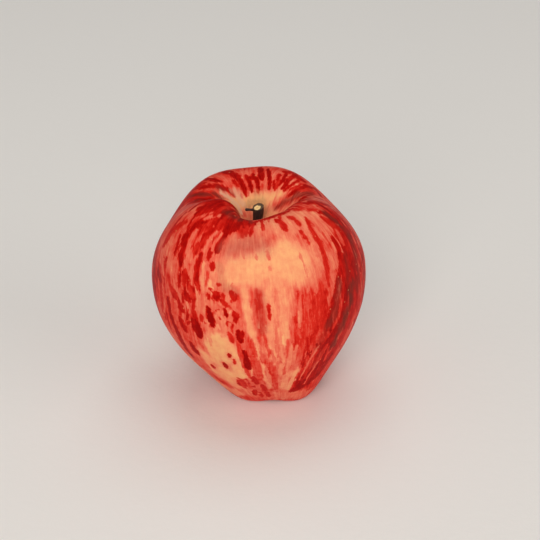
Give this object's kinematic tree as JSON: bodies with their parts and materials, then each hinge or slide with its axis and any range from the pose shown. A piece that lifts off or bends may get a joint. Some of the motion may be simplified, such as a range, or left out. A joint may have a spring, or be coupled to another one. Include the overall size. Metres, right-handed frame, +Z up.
{
  "type": "red apple",
  "caption": "Tall tapering red apple with lobed shoulders, a short cut stem in a deep hollow and a dried calyx in its base.",
  "frame": {"origin": "middle of the apple's box in plan, on the surface it stands on", "axes": "+Z up towards the stem, -Y towards the viewer of the picture, +X to the viewer's right"},
  "size_m": [0.0808, 0.0812, 0.0856],
  "materials": {
    "fruit_skin": "waxy red skin with streaks and flecks over an orange yellow ground",
    "stem_bark": "dark rough bark with a pale cut end",
    "dried_calyx": "dry papery brown"
  },
  "bodies": {
    "root": {"apple_fruit": "fruit_skin", "stem": "stem_bark", "calyx": "dried_calyx"}
  },
  "joints": []
}
